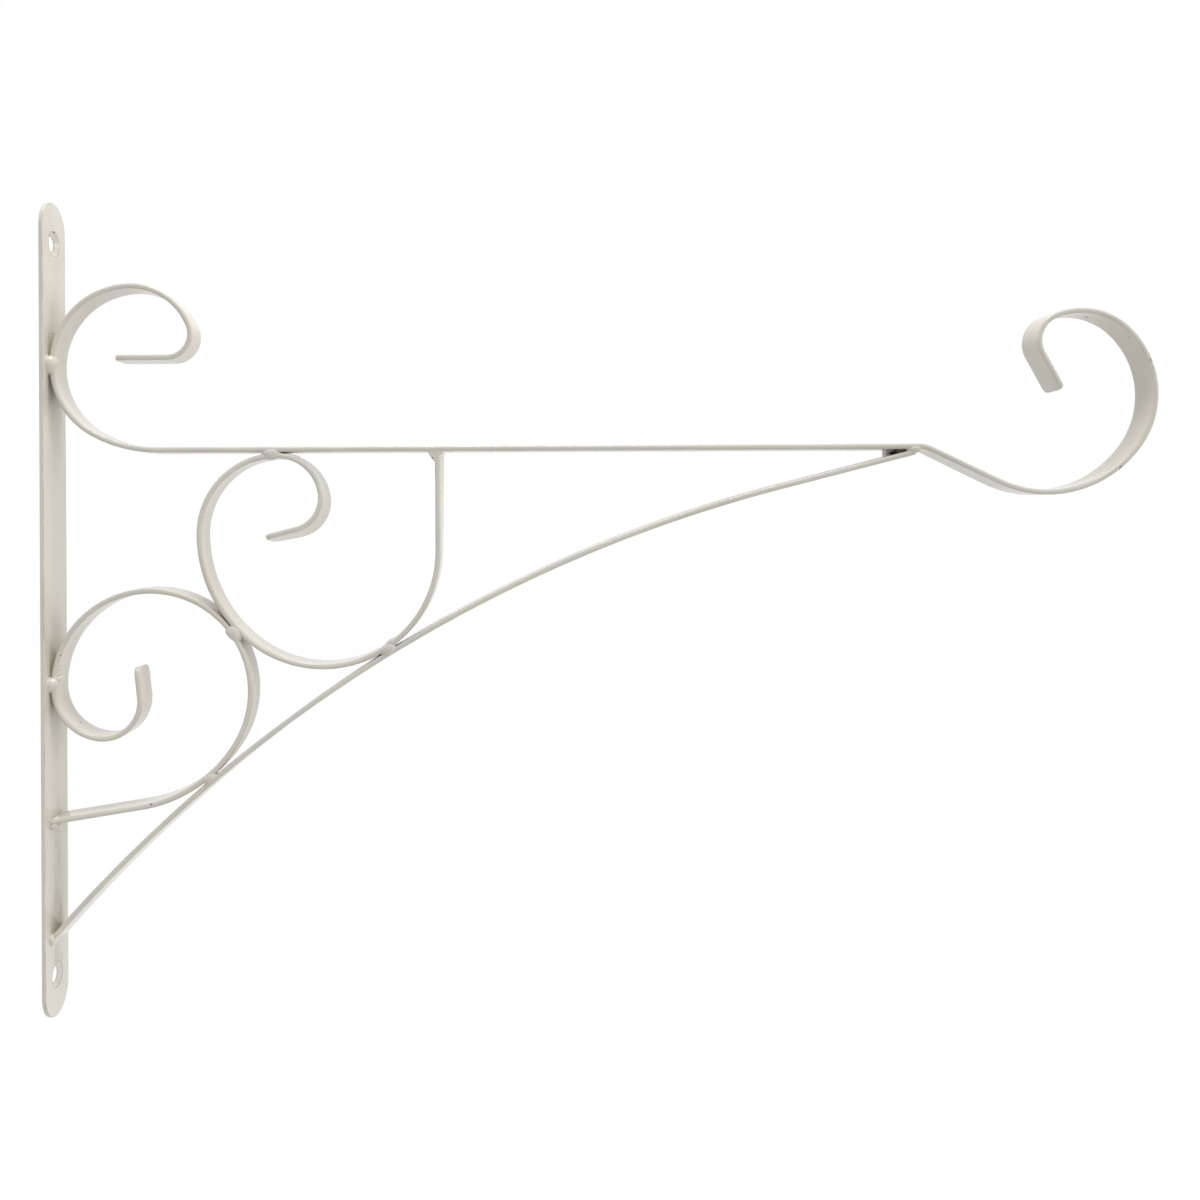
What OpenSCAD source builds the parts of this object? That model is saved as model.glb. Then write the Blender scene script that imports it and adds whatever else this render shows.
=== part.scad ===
// Scroll wall bracket: five pieces of flat steel bar, bent cold, welded together and powder coated.
// Frame: X runs out from the wall, Y lies along the wall, Z is up.
// Origin: back face of the wall plate, midway between its two screw holes.

/* [Wall plate] */
// Height of the wall plate
plate_h = 300; // [290:1:330]
// Width of the wall plate
plate_w = 20; // [18:0.5:26]
// Thickness of the wall plate
plate_t = 1.5; // [1.2:0.1:2]
// Distance from each end of the plate to the centre of its screw hole
hole_inset = 15; // [13:0.5:18]
// Diameter of the screw holes
screw_d = 5.5; // [4:0.1:6]
// Diameter of the countersinks at the front face
sink_d = 9; // [8:0.1:10]
// Depth of the countersinks
sink_depth = 1.1; // [0.7:0.05:1.15]

/* [Flat bar] */
// Width of the bar that all four bent pieces are made of
bar_w = 12; // [10:0.5:14]
// Thickness of the bar
bar_t = 2; // [1.8:0.1:2.2]
// Rounding of the bar's long edges
edge_r = 0.8; // [0.4:0.1:0.85]
// Rounding of the corners at a free end, seen on the flat
tip_r = 2.5; // [1:0.5:3]

/* [Top arm] */
// Height of the arm's centre line above the middle of the plate
arm_z = 58.4; // [54:0.2:62]
// Distance from the wall to the bend where the arm drops towards the hook
arm_reach = 319; // [312:1:330]
// Radius of the upper scroll where it runs into the arm
scroll_low_r = 49; // [47:0.5:52]
// Turn of that part of the scroll, in degrees
scroll_low_a = 28; // [26:0.5:30]
// Radius of the upper scroll beside the plate
scroll_side_r = 28.8; // [27:0.1:30]
// Radius of the upper scroll over its top
scroll_top_r = 22.8; // [21:0.1:24]
// Radius of the tight bend before the scroll's free end
scroll_end_r = 8.7; // [7.5:0.1:9.5]
// Straight length at the upper scroll's free end
scroll_tail = 19; // [16:0.5:21]

/* [Hook] */
// Radius of the bend where the arm turns down
drop_r = 10.8; // [9:0.1:12]
// Angle of the drop below the arm, in degrees
drop_a = 25.5; // [24:0.5:27]
// Straight length of the drop
drop_l = 27.6; // [25:0.2:30]
// Radius of the bottom of the hook
hook_low_r = 41; // [39:0.5:43]
// Radius of the side of the hook
hook_side_r = 32.3; // [30:0.1:34]
// Radius of the top of the hook
hook_top_r = 24.5; // [23:0.5:26]
// Radius of the bend before the hook's free end
hook_end_r = 9.7; // [8.5:0.1:11]
// Straight length at the hook's free end
hook_tail = 15; // [12:0.5:18]

/* [Lower scroll] */
// Height at which the lower scroll touches the plate, below the plate's middle
low_z = -28.3; // [-31:0.1:-26]
// Radius of the lower scroll from the plate to its top
low_first_r = 35.2; // [34.4:0.1:35.8]
// Radius of the lower scroll over its outer side
low_side_r = 36.7; // [36:0.1:37.4]
// Radius of the lower scroll where it meets the brace
low_end_r = 49.7; // [48.5:0.1:51]
// Radius of the inner curl beside the plate
low_curl_r = 18.8; // [17.5:0.1:20]
// Radius of the inner curl at its end
low_curl_end_r = 13.6; // [12.5:0.1:14.5]
// Straight length at the lower scroll's free end
low_tail = 11; // [8:0.5:13]

/* [Middle scroll] */
// Radius of the middle scroll where it leaves the arm
mid_first_r = 28.6; // [28:0.1:29.2]
// Radius of the middle scroll where it lies on the lower scroll
mid_side_r = 50.4; // [49.6:0.1:51.2]
// Radius of the inner curl below the arm
mid_curl_r = 15.7; // [14.9:0.1:16.5]
// Radius of the inner curl at its end
mid_curl_end_r = 11.7; // [10.9:0.1:12.5]
// Straight length at the middle scroll's free end
mid_tail = 12; // [9:0.5:14]

/* [Brace] */
// Radius of the brace's long arch
brace_r = 527; // [515:1:540]
// Distance from the wall to the brace's upper end
brace_reach = 317.2; // [314:0.1:319]
// Slope of the brace at its upper end, in degrees
brace_a = 14.2; // [13.6:0.1:14.8]

/* [Welds] */
// Gap that the weld bridges where two bent pieces touch
weld_gap = 0.3; // [0.2:0.05:0.4]
// Radius of a tack between two bars
tack_r = 1.9; // [1.6:0.1:2]
// Length of a tack between two bars, without its rounded ends
tack_l = 2.6; // [1.5:0.1:3.5]
// How far the middle of a tack is sunk behind the bars' near edges
tack_sunk = 0.9; // [0.5:0.1:1.2]
// Radius of a tack between a bar and the plate
plate_tack_r = 2.6; // [2.2:0.1:2.8]
// Length of a tack between a bar and the plate, without its rounded ends
plate_tack_l = 0.8; // [0.4:0.1:2]
// Radius of a bead across a bar's end
cross_r = 2; // [1.8:0.1:2.2]
// Length of the bead at the near corner of the lower scroll's tail, without its rounded ends
corner_l = 3; // [1:0.5:5]

/* [Hidden] */

cream = [0.8, 0.79, 0.75];
weld_cream = [0.84, 0.83, 0.79];
arc_fn = 240;
edge_flats = 3;
edge_fn = 24;
weld_fn = 72;
// How far a shape runs past the face that cuts it
spare = 2;
past_plate_a = 1;
// How much slimmer every second move of a bent bar is, and how far it laps into its neighbours
hair = 0.01;
lap = 0.2;

// Turns of the bent pieces, in degrees
scroll_side_a = 150;
scroll_top_a = 70;
hook_low_a = 81;
hook_side_a = 81.5;
hook_top_a = 65.5;
hook_end_a = 96;
low_first_a = 90;
low_side_a = 122;
low_end_a = 49;
low_curl_a = 80;
low_curl_end_a = 106;
mid_first_a = 90;
mid_side_a = 50.5;
mid_curl_a = 86;
mid_curl_end_a = 79;

// Centre line of a bent piece that stands against the plate, and of one that hangs under the arm
at_plate_x = plate_t + weld_gap + bar_t / 2;
arm_under = arm_z - bar_t / 2;
under_arm_z = arm_under - weld_gap - bar_t / 2;
// Distance between the centre lines of two pieces that touch
touch = bar_t + weld_gap;
// Gap above the middle scroll's butt end
butt_gap = 0.05;

// A pose is [x, z, heading]: the heading is in degrees from +X towards +Z.
// A move is [radius, turn], anticlockwise turns positive, or [0, length] for a straight.
function ahead(p, l) = [p[0] + l * cos(p[2]), p[1] + l * sin(p[2]), p[2]];
function arc_centre(p, m) = [p[0] - sign(m[1]) * m[0] * sin(p[2]), p[1] + sign(m[1]) * m[0] * cos(p[2])];
function arc_end(p, m, c) =
    let (h = p[2] + m[1])
    [c[0] + sign(m[1]) * m[0] * sin(h), c[1] - sign(m[1]) * m[0] * cos(h), h];
function moved(p, m) = m[0] == 0 ? ahead(p, m[1]) : arc_end(p, m, arc_centre(p, m));
function pose(p, moves, n) = n == 0 ? p : moved(pose(p, moves, n - 1), moves[n - 1]);
function last_pose(p, moves) = pose(p, moves, len(moves));
function reversed(p) = [p[0], p[1], p[2] + 180];
function toward(a, b, l) = a + (b - a) * l / norm(b - a);
// Pose at a distance from a on the line to b, square to that line
function touch_pose(a, b, l) = concat(toward(a, b, l), atan2(b[1] - a[1], b[0] - a[0]) + 90);

// Upper scroll and arm: one bar that starts where it stands on the plate.
scroll_z = arm_z + scroll_low_r * (1 - cos(scroll_low_a)) + scroll_side_r * cos(scroll_low_a);
arm_start = [at_plate_x, scroll_z, -90];
scroll_down = [[scroll_side_r, 90 - scroll_low_a], [scroll_low_r, scroll_low_a]];
arm_run = arm_reach - last_pose(arm_start, scroll_down)[0];
hook_moves = [
    [0, arm_run], [drop_r, -drop_a], [0, drop_l],
    [hook_low_r, hook_low_a], [hook_side_r, hook_side_a], [hook_top_r, hook_top_a], [hook_end_r, hook_end_a]
];
arm_moves = concat(scroll_down, hook_moves);
scroll_over_a = scroll_side_a - (90 - scroll_low_a);
scroll_up = [
    [scroll_side_r, -scroll_over_a], [scroll_top_r, -scroll_top_a],
    [scroll_end_r, -(270 - scroll_over_a - scroll_top_a)]
];

// Lower scroll: it stands on the plate, turns over and comes back to the plate.
low_start = [at_plate_x, low_z, 90];
low_over = [[low_first_r, -low_first_a], [low_side_r, -low_side_a], [low_end_r, -low_end_a]];
low_side_c = arc_centre(pose(low_start, low_over, 1), low_over[1]);
low_end_c = arc_centre(pose(low_start, low_over, 2), low_over[2]);
low_turned = last_pose(low_start, low_over);
low_back = (plate_t - low_turned[0]) / cos(low_turned[2]);
low_tail_z = low_turned[1] + low_back * sin(low_turned[2]);
low_curl = [[low_curl_r, low_curl_a], [low_curl_end_r, low_curl_end_a]];

// Brace: a straight end under the arm, and an arch whose centre is solved to touch the lower scroll.
brace_top = [
    brace_reach + bar_t / 2 * sin(brace_a),
    arm_under - weld_gap / 2 - bar_t / 2 * cos(brace_a)
];
brace_along = [cos(brace_a), sin(brace_a)];
brace_below = [sin(brace_a), -cos(brace_a)];
brace_from_scroll = brace_top + brace_r * brace_below - low_end_c;
brace_b = brace_from_scroll * brace_along;
brace_q = brace_from_scroll * brace_from_scroll - pow(brace_r + low_end_r + touch, 2);
brace_straight = brace_b - sqrt(brace_b * brace_b - brace_q);
brace_c = brace_top + brace_r * brace_below - brace_straight * brace_along;
brace_foot_a = acos((plate_t - brace_c[0]) / brace_r);
brace_arch_a = brace_foot_a - 90 - brace_a;
brace_foot_z = brace_c[1] + brace_r * sin(brace_foot_a);
brace_start = [brace_top[0], brace_top[1], brace_a + 180];

// Middle scroll: it hangs under the arm, lies on the lower scroll and on the brace, and ends under the arm.
mid_c_step = mid_side_r - mid_first_r;
mid_first_z = under_arm_z - mid_first_r;
mid_side_x = low_side_c[0]
    + sqrt(pow(low_side_r + mid_side_r + touch, 2) - pow(mid_first_z - low_side_c[1], 2));
mid_start = [mid_side_x - mid_c_step, under_arm_z, 180];
mid_down = [[mid_first_r, mid_first_a], [mid_side_r, mid_side_a]];
mid_low = last_pose(mid_start, mid_down);
// Radius of the last arc, solved so that it touches the brace
mid_n = [-sin(mid_low[2]), cos(mid_low[2])];
mid_v = [mid_low[0], mid_low[1]] - brace_c;
mid_last_r = (mid_v * mid_v - pow(brace_r + touch, 2)) / (2 * (brace_r + touch - mid_v * mid_n));
mid_over = concat(mid_down, [[mid_last_r, 270 - mid_first_a - mid_side_a]]);
mid_side_c = arc_centre(pose(mid_start, mid_over, 1), mid_over[1]);
mid_last_c = arc_centre(mid_low, mid_over[2]);
mid_turned = last_pose(mid_start, mid_over);
mid_rise = arm_under - mid_turned[1] - butt_gap - lap;
mid_curl = [[mid_curl_r, -mid_curl_a], [mid_curl_end_r, -mid_curl_end_a]];

// Poses in the middle of the gaps between pieces that touch
scrolls_meet = touch_pose(low_side_c, mid_side_c, low_side_r + touch / 2);
low_meets_brace = touch_pose(low_end_c, brace_c, low_end_r + touch / 2);
mid_meets_brace = touch_pose(mid_last_c, brace_c, mid_last_r + touch / 2);
tack_y = tack_sunk - bar_w / 2;

// How far each tack lies from the point of touch, along the bars or up the plate
low_tack_up = 1.4;
scrolls_tack_on = -3.4;
mid_brace_tack_on = 1.9;
// How far each bead's middle stands off the plate's face or the bar's end that it joins
arm_tack_back = 3.2;
corner_out = 1;
corner_in = 1.5;
corner_drop = 1.5;
foot_out = 0.8;
foot_drop = 1.6;
mid_tail_drop = 1;
brace_end_drop = 0.6;

// Bar section: x is the thickness and y the width. Each rounded edge is a few flats along an arc.
// It is drawn smaller all round by slim.
module bar_section(slim = 0) {
    polygon([
        for (corner = [[1, 1, 0], [-1, 1, 90], [-1, -1, 180], [1, -1, 270]])
            for (k = [0 : edge_flats])
                let (a = corner[2] + 90 * k / edge_flats)
                [corner[0] * (bar_t / 2 - edge_r) + (edge_r - slim) * cos(a),
                 corner[1] * (bar_w / 2 - edge_r) + (edge_r - slim) * sin(a)]
    ]);
}

// Puts what is drawn along +X at a pose.
module at(p) {
    translate([p[0], 0, p[1]]) rotate([0, -p[2], 0]) children();
}

module straight_bar(l, slim = 0) {
    rotate([0, 90, 0]) linear_extrude(l) bar_section(slim);
}

// A bend to the left that starts at heading 0, and runs past both its ends by lap.
module left_bend(r, a, slim = 0, lap = 0) {
    lap_a = lap / r * 180 / PI;
    translate([0, 0, r]) rotate([90, 0, 0])
        rotate_extrude(angle = a + 2 * lap_a, start = -90 - lap_a, $fn = arc_fn)
            translate([r, 0]) bar_section(slim);
}

module one_move(m, slim, lap) {
    if (m[0] == 0) translate([-lap, 0, 0]) straight_bar(m[1] + 2 * lap, slim);
    else if (m[1] > 0) left_bend(m[0], m[1], slim, lap);
    else mirror([0, 0, 1]) left_bend(m[0], -m[1], slim, lap);
}

// A bar bent through a list of moves. Every second move is a hair slimmer and laps into its neighbours,
// so that two moves never share an edge. What the children draw comes after the last move.
module bent_bar(start, moves, first_slim = 0) {
    for (i = [0 : len(moves) - 1]) {
        odd = (i + first_slim) % 2;
        at(pose(start, moves, i)) one_move(moves[i], odd * hair, odd * lap);
    }
    at(last_pose(start, moves)) children();
}

// Free end of a bar: round at the tip, with its two corners rounded on the flat.
module free_end(l) {
    intersection() {
        union() {
            translate([-lap, 0, 0]) straight_bar(l + lap - bar_t / 2, hair);
            translate([l - bar_t / 2, 0, 0]) rotate([90, 0, 0])
                cylinder(h = bar_w - 2 * hair, d = bar_t - 2 * hair, center = true, $fn = edge_fn);
        }
        linear_extrude(2 * bar_t, center = true) {
            translate([-tip_r, -bar_w / 2]) square([l, bar_w]);
            translate([0, -bar_w / 2 + tip_r]) square([l, bar_w - 2 * tip_r]);
            for (s = [-1, 1])
                translate([l - tip_r, s * (bar_w / 2 - tip_r)]) circle(r = tip_r, $fn = weld_fn);
        }
    }
}

// A whole ring of bar, which stands for one bend where a weld is cut to fit it.
module ring(c, r) {
    translate([c[0], 0, c[1]]) rotate([90, 0, 0])
        rotate_extrude($fn = arc_fn) translate([r, 0]) bar_section();
}

// A short straight bar, centred at a pose, which stands for the slack bend of the brace beside a weld.
module short_bar(p) {
    at(p) translate([-bar_w, 0, 0]) straight_bar(2 * bar_w);
}

module screw_hole(z) {
    translate([0, 0, z]) rotate([0, 90, 0]) {
        translate([0, 0, -spare]) cylinder(h = plate_t + 2 * spare, d = screw_d, $fn = weld_fn);
        translate([0, 0, plate_t - sink_depth])
            cylinder(h = sink_depth, d1 = screw_d, d2 = sink_d, $fn = weld_fn);
    }
}

// Space in front of the plate's front face.
module off_the_plate() {
    translate([plate_t, -plate_w, -plate_h]) cube([2 * arm_reach, 2 * plate_w, 2 * plate_h]);
}

// Space behind the plate's front face.
module plate_side() {
    translate([plate_t - plate_w, -plate_w, -plate_h]) cube([plate_w, 2 * plate_w, 2 * plate_h]);
}

// Space above the arm's underside, as far as the drop towards the hook.
module arm_side() {
    translate([0, -plate_w, arm_under]) cube([arm_reach, 2 * plate_w, 2 * bar_t]);
    at([arm_reach, arm_z, 0]) mirror([0, 0, 1]) left_bend(drop_r, drop_a);
}

module wall_plate() {
    straight_h = plate_h - plate_w;
    color(cream) difference() {
        rotate([0, 90, 0]) linear_extrude(plate_t) {
            square([straight_h, plate_w], center = true);
            for (s = [-1, 1]) translate([s * straight_h / 2, 0]) circle(d = plate_w, $fn = arc_fn);
        }
        for (s = [-1, 1]) screw_hole(s * (plate_h / 2 - hole_inset));
    }
}

module top_arm() {
    color(cream) {
        bent_bar(arm_start, arm_moves) free_end(hook_tail);
        bent_bar(reversed(arm_start), scroll_up, 1) free_end(scroll_tail);
    }
}

module brace() {
    color(cream) intersection() {
        bent_bar(brace_start, [[0, brace_straight], [brace_r, brace_arch_a + past_plate_a]]);
        off_the_plate();
    }
}

module middle_scroll() {
    color(cream) {
        bent_bar(mid_start, concat(mid_over, [[0, mid_rise]]));
        bent_bar(reversed(mid_start), mid_curl, 1) free_end(mid_tail);
    }
}

module lower_scroll() {
    color(cream) intersection() {
        union() {
            bent_bar(low_start, concat(low_over, [[0, low_back + bar_t]]));
            bent_bar(reversed(low_start), low_curl, 1) free_end(low_tail);
        }
        off_the_plate();
    }
}

// Bead of weld metal with rounded ends, lying along X.
module bead(r, l) {
    rotate([0, 90, 0]) cylinder(h = l, r = r, center = true, $fn = weld_fn);
    for (s = [-1, 1]) translate([s * l / 2, 0, 0]) sphere(r = r, $fn = weld_fn);
}

// Tack on the near edges of two bars that touch at a pose, which lies on from there by a distance.
module edge_tack(p, on = 0) {
    translate([0, tack_y, 0]) at(ahead(p, on)) bead(tack_r, tack_l);
}

// Tack between the plate's face and the near edge of a bar that touches it at height z.
module plate_tack(z) {
    translate([plate_t + bar_t / 2, -bar_w / 2, z]) rotate([0, 90, 0]) bead(plate_tack_r, plate_tack_l);
}

// Bead across the width of a bar, at x and z.
module cross_bead(x, z, l) {
    translate([x, 0, z]) rotate([0, 0, 90]) bead(cross_r, l);
}

module weld_arm_to_plate() {
    color(weld_cream) difference() {
        plate_tack(scroll_z);
        plate_side();
        ring([at_plate_x + scroll_side_r, scroll_z], scroll_side_r);
    }
}

module weld_lower_scroll_to_plate() {
    color(weld_cream) difference() {
        plate_tack(low_z + low_tack_up);
        plate_side();
        at(low_start) mirror([0, 0, 1]) left_bend(low_first_r, low_first_a);
        at(reversed(low_start)) left_bend(low_curl_r, low_curl_a);
    }
}

module weld_lower_tail_to_plate() {
    color(weld_cream) difference() {
        translate([plate_t + corner_out, corner_in - bar_w / 2, low_tail_z - corner_drop])
            rotate([0, 0, 90]) bead(cross_r, corner_l);
        plate_side();
        at(low_turned) straight_bar(low_back + bar_t);
    }
}

module weld_brace_to_plate() {
    color(weld_cream) difference() {
        cross_bead(plate_t + foot_out, brace_foot_z - foot_drop, bar_w - 2 * cross_r);
        plate_side();
        short_bar([plate_t, brace_foot_z, brace_foot_a - 90]);
    }
}

module weld_middle_scroll_to_arm() {
    color(weld_cream) difference() {
        edge_tack([mid_start[0], arm_under - weld_gap / 2, 0], -arm_tack_back);
        arm_side();
        ring([mid_start[0], mid_start[1] - mid_first_r], mid_first_r);
    }
}

module weld_middle_tail_to_arm() {
    color(weld_cream) difference() {
        cross_bead(mid_turned[0] - bar_t / 2, arm_under - mid_tail_drop, bar_w - 2 * cross_r);
        arm_side();
        at(mid_turned) straight_bar(mid_rise + bar_t);
    }
}

module weld_between_scrolls() {
    color(weld_cream) difference() {
        edge_tack(scrolls_meet, scrolls_tack_on);
        ring(low_side_c, low_side_r);
        ring(mid_side_c, mid_side_r);
    }
}

module weld_lower_scroll_to_brace() {
    color(weld_cream) difference() {
        edge_tack(low_meets_brace);
        ring(low_end_c, low_end_r);
        short_bar(touch_pose(low_end_c, brace_c, low_end_r + touch));
    }
}

module weld_middle_scroll_to_brace() {
    color(weld_cream) difference() {
        edge_tack(mid_meets_brace, mid_brace_tack_on);
        ring(mid_last_c, mid_last_r);
        short_bar(touch_pose(mid_last_c, brace_c, mid_last_r + touch));
    }
}

module weld_brace_to_arm() {
    color(weld_cream) difference() {
        edge_tack([brace_reach, arm_under - brace_end_drop, brace_a / 2]);
        arm_side();
        at(brace_start) straight_bar(brace_straight);
    }
}

wall_plate();
top_arm();
brace();
middle_scroll();
lower_scroll();
weld_arm_to_plate();
weld_lower_scroll_to_plate();
weld_lower_tail_to_plate();
weld_brace_to_plate();
weld_middle_scroll_to_arm();
weld_middle_tail_to_arm();
weld_between_scrolls();
weld_lower_scroll_to_brace();
weld_middle_scroll_to_brace();
weld_brace_to_arm();
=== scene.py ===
"""Scroll wall bracket: flat steel bar, bent cold, tacked together and powder coated cream.

Sizes are in millimetres, and MM turns them to metres, in which the frame and the finished meshes are.
The bars lie in the plane of X and Z. A pose is (x, z, heading), with the heading in degrees from +X
towards +Z. A move is (radius, turn), anticlockwise turns positive, or (0, length) for a straight.
"""
import math

import bmesh
import bpy
import numpy as np
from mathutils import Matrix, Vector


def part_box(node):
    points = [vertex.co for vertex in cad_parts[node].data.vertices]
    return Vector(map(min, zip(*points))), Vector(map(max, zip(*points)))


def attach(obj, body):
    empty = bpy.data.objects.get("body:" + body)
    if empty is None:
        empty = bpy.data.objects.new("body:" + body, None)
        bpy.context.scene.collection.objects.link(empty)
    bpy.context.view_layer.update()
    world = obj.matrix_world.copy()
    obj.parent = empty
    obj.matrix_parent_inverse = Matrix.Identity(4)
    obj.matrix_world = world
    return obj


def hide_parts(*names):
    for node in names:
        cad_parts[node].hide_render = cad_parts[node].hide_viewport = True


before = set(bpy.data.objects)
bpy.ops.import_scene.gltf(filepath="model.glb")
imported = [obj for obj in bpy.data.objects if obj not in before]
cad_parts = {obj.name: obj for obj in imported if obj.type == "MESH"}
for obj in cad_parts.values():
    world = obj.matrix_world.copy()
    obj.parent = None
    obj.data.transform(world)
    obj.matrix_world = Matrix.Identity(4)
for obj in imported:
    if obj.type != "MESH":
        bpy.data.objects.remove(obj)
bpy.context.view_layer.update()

MM = 0.001


def box_mm(node):
    """Lowest and highest corner of a node of the frame, in millimetres."""
    low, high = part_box(node)
    return np.round(np.array(low) / MM, 3), np.round(np.array(high) / MM, 3)


# Sizes that the frame gives
PLATE_T, half_plate_w, half_plate_h = box_mm("wall_plate")[1]
PLATE_W = 2 * half_plate_w
PLATE_H = 2 * half_plate_h
BAR_W = 2 * box_mm("brace")[1][1]

# Wall plate: the sink's softened rim ends at SINK_EDGE_A from the hole's axis, and the drill stands past
# both faces. The wear shows more strongly along the plate's edges than along the bars'.
HOLE_INSET = 15
SCREW_D = 5.5
SINK_D = 9
SINK_DEPTH = 1.1
PLATE_EDGE_R = 0.3
SINK_EDGE_R = 0.35
SINK_EDGE_A = 82
SINK_EDGE_POINTS = 6
DRILL_PAST = 1
DRILL_FLARE = 7
PLATE_WEAR = 5.0
HOLES_Z = PLATE_H / 2 - HOLE_INSET

# Flat bar, with the radii of its long edges, of the edges and the corners of a free end, and the gap
# between bars that touch
BAR_T = 2.0
EDGE_R = 0.85
END_R = 0.5
TIP_R = 2.5
GAP = 0.3
TOUCH = BAR_T + GAP
AT_PLATE_X = PLATE_T + GAP + BAR_T / 2

# Top arm, from the wall to its hook
ARM_Z = 58.4
ARM_REACH = 319
SCROLL_LOW = (49, 28)
SCROLL_SIDE_R = 28.8
SCROLL_SIDE_A = 150
SCROLL_TOP = (22.8, -70)
SCROLL_END_R = 8.7
SCROLL_TAIL = (0, 19)
HOOK = [(10.8, -25.5), (0, 27.6), (41, 81), (32.3, 81.5), (24.5, 65.5), (9.7, 96), (0, 15)]

# Lower scroll: over its top and back to the plate, and its inner curl
LOW_Z = -28.3
LOW_OVER = [(35.2, -90), (36.7, -122), (49.7, -49)]
LOW_CURL = [(18.8, 80), (13.6, 106), (0, 11)]

# Middle scroll: from the arm down and over, and its inner curl
MID_FIRST = (28.6, 90)
MID_SIDE = (50.4, 50.5)
MID_CURL = [(15.7, -86), (11.7, -79), (0, 12)]
BUTT_GAP = 0.05

# Brace, whose path stops short of the plate: from there its skin is carried on to the plate's face
BRACE_R = 527
BRACE_REACH = 317.2
BRACE_A = 14.2
FOOT_SHORT = 3

# Slight twists that bending by hand left: how far a far edge stands aside, and over which length of bar
HOOK_TWIST = 0.9
HOOK_TWIST_L = 30
CURL_TWIST = 2.2
CURL_TWIST_AT = 13
CURL_TWIST_L = 17
TAIL_TWIST = 0.6
TAIL_TWIST_L = 50
FOOT_TWIST = 0.9
FOOT_TWIST_FROM = 150
FOOT_TWIST_TO = 60

# Welds: the stretch of bar that one bites into, which runs past a bar's end, and the voxels and passes
# that flow its parts together
ROOT_L = 8
ROOT_DEPTH = 3.5
ROOT_PAST = 0.1
SLIM = 0.08
BACK_CLEAR = 0.4
BLOB_RINGS = 33
BLOB_POINTS = 64
BLOB_UNEVEN = 0.06
WEB_RINGS = 5
VOXEL = 0.16
FLOW_STEPS = 14

# Meshes: ring spacing along a straight, along a bend and round it in degrees, and the sharpest smooth edge
SHARP_A = 40
STRAIGHT_STEP = 4
BEND_STEP = 2
TURN_STEP = 2.5
TIP_RINGS = 14
PLATE_END_POINTS = 49
HOLE_POINTS = 64
CORNER_POINTS = 7

# Round a corner: the turn at each of its points, and its wear there, which is greatest half way round
CORNER_TURN = np.linspace(0, math.pi / 2, CORNER_POINTS)
CORNER_WEAR = np.sin(2 * CORNER_TURN) ** 3
BAR_WEAR = np.tile(CORNER_WEAR, 4)


def ahead(pose, length):
    """The pose moved along its heading."""
    x, z, heading = pose
    turned = math.radians(heading)
    return x + length * math.cos(turned), z + length * math.sin(turned), heading


def beside(pose, length):
    """The pose moved to its left, with the same heading."""
    x, z, heading = pose
    turned = math.radians(heading)
    return x - length * math.sin(turned), z + length * math.cos(turned), heading


def back(pose):
    """The pose turned round."""
    return pose[0], pose[1], pose[2] + 180


def centre(pose, move):
    """Centre of the bend that starts at a pose: its radius away, on the side it turns to."""
    x, z, _ = beside(pose, math.copysign(move[0], move[1]))
    return np.array([x, z])


def after(pose, moves):
    """Pose at the end of a list of moves."""
    for move in moves:
        if move[0] == 0:
            pose = ahead(pose, move[1])
        else:
            x, z = centre(pose, move)
            pose = beside((x, z, pose[2] + move[1]), -math.copysign(move[0], move[1]))
    return pose


def touch_pose(a, b, length):
    """Pose at a length from a on the line to b, square to that line, with a on its left."""
    x, z = a + (b - a) * length / np.linalg.norm(b - a)
    return x, z, math.degrees(math.atan2(b[1] - a[1], b[0] - a[0])) + 90


# Upper scroll and arm: one bar that starts where it stands on the plate
arm_under = ARM_Z - BAR_T / 2
low_turn = math.radians(SCROLL_LOW[1])
scroll_z = ARM_Z + SCROLL_LOW[0] * (1 - math.cos(low_turn)) + SCROLL_SIDE_R * math.cos(low_turn)
arm_start = (AT_PLATE_X, scroll_z, -90)
scroll_down = [(SCROLL_SIDE_R, 90 - SCROLL_LOW[1]), SCROLL_LOW]
arm_run = ARM_REACH - after(arm_start, scroll_down)[0]
scroll_over_a = SCROLL_SIDE_A - 90 + SCROLL_LOW[1]
scroll_end_a = scroll_over_a - SCROLL_TOP[1] - 270
scroll_up = [(SCROLL_SIDE_R, -scroll_over_a), SCROLL_TOP, (SCROLL_END_R, scroll_end_a), SCROLL_TAIL]

# Lower scroll: it stands on the plate, turns over and comes back to the plate
low_start = (AT_PLATE_X, LOW_Z, 90)
low_side_r = LOW_OVER[1][0]
low_end_r = LOW_OVER[2][0]
low_side_c = centre(after(low_start, LOW_OVER[:1]), LOW_OVER[1])
low_end_c = centre(after(low_start, LOW_OVER[:2]), LOW_OVER[2])
low_turned = after(low_start, LOW_OVER)
low_back = (PLATE_T - low_turned[0]) / math.cos(math.radians(low_turned[2]))
low_tail = ahead(low_turned, low_back)

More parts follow.
